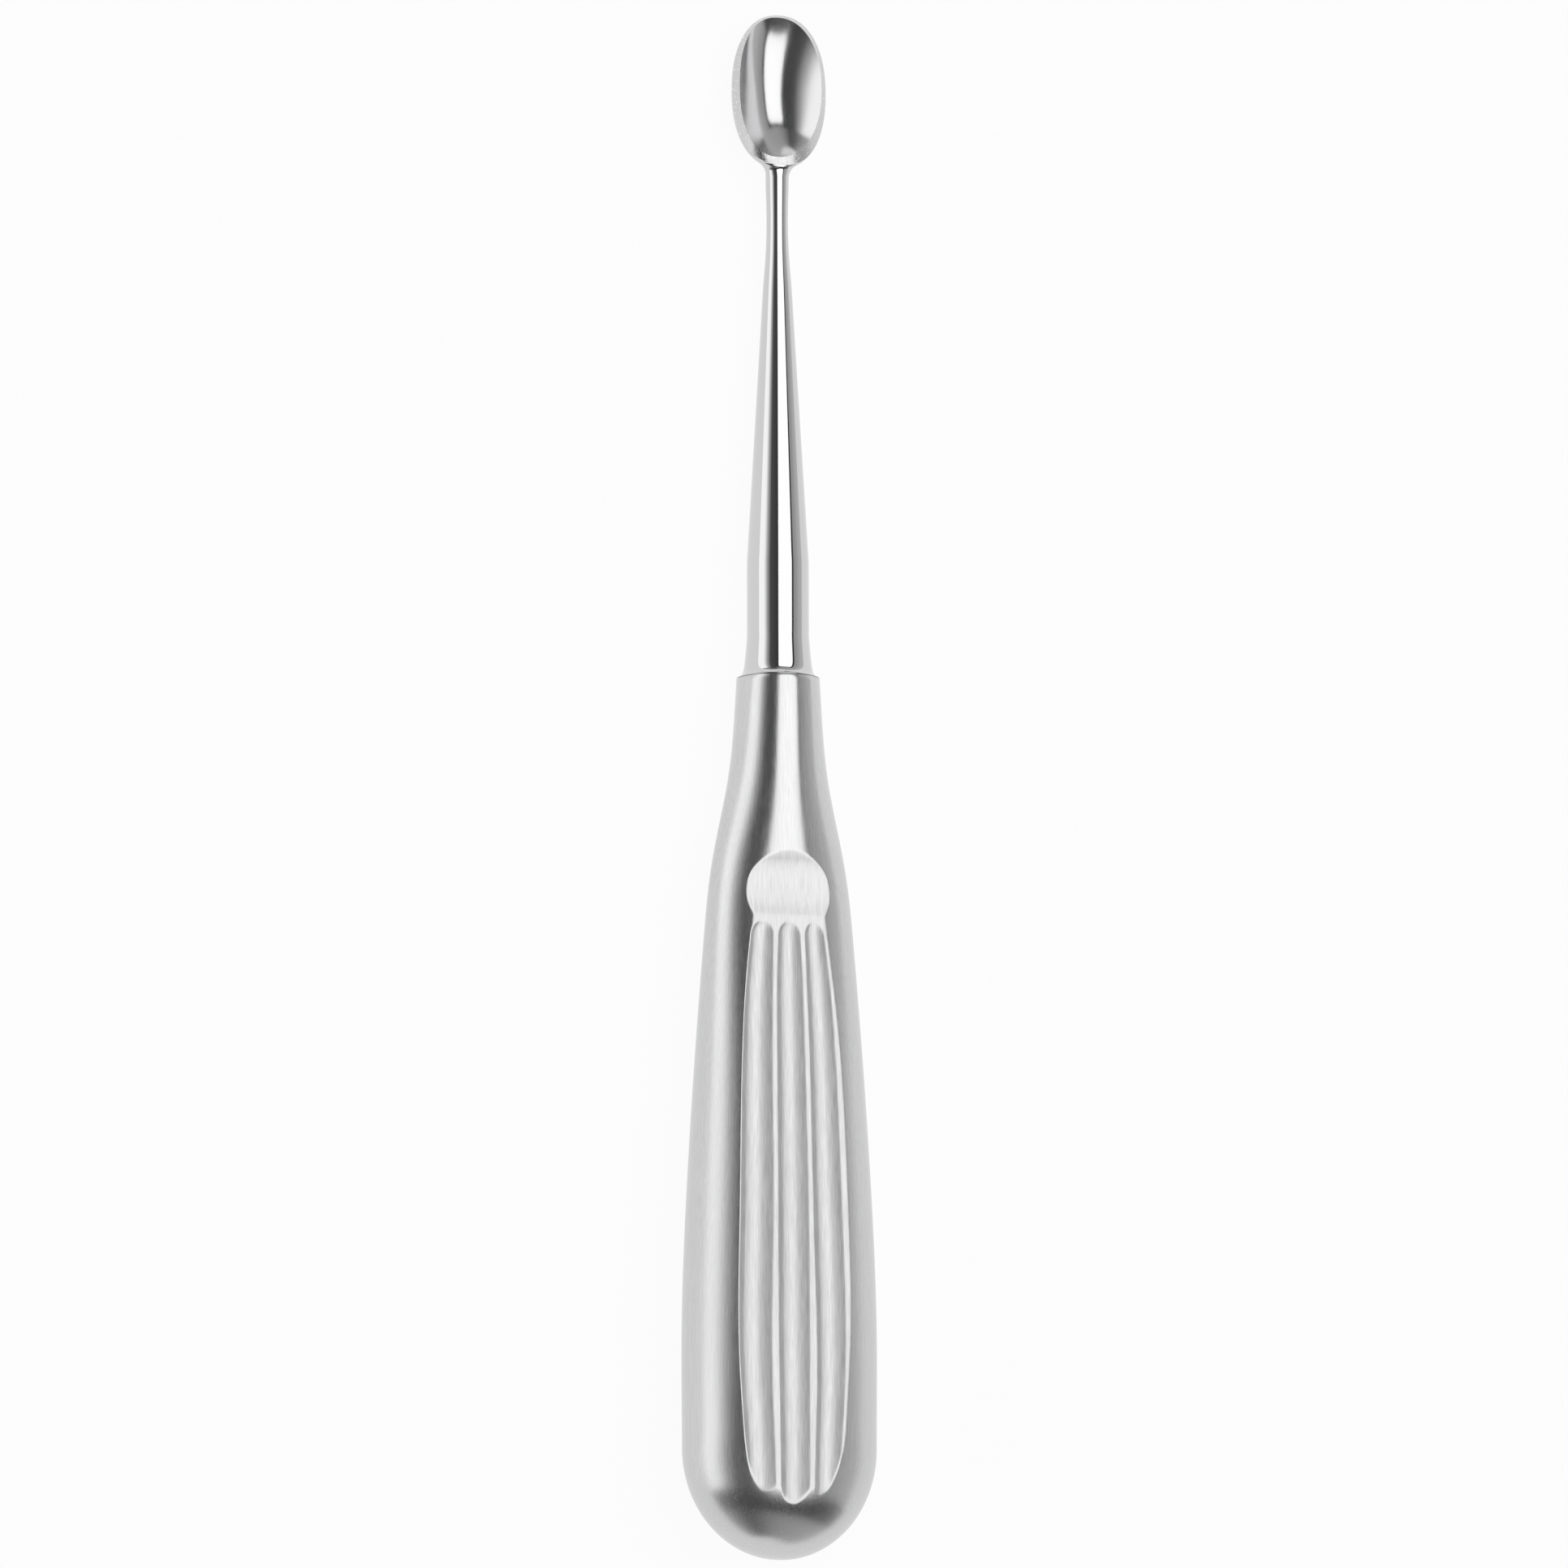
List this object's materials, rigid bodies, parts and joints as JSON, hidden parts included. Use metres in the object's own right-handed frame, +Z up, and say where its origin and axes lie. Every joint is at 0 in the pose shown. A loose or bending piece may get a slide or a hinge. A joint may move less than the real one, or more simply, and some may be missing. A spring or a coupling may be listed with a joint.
{
  "type": "bone curette",
  "caption": "Bone curette: polished tapered shaft ending in an oval sharp-edged cup, fixed in a satin hollow handle with a scooped thumb rest and lengthwise finger flutes.",
  "frame": {"origin": "Centre of the bounding box in X and Y, on the surface that the instrument lies on.", "axes": "+Y runs from the butt of the handle to the tip of the cup, +X to the right seen from above with the cup pointing away, +Z up. The cup's opening, the thumb rest and the flutes face up. The instrument lies on the handle's back and the cup's back, so its own axis dips 2.0 degrees towards the cup."},
  "size_m": [0.0216, 0.17, 0.0155],
  "materials": {
    "polished_steel": "mirror-polished stainless steel, with a finely ground cup edge",
    "satin_steel": "satin stainless steel brushed lengthwise"
  },
  "bodies": {
    "root": {"curette_shaft": "polished_steel", "handle": "satin_steel"}
  },
  "joints": []
}
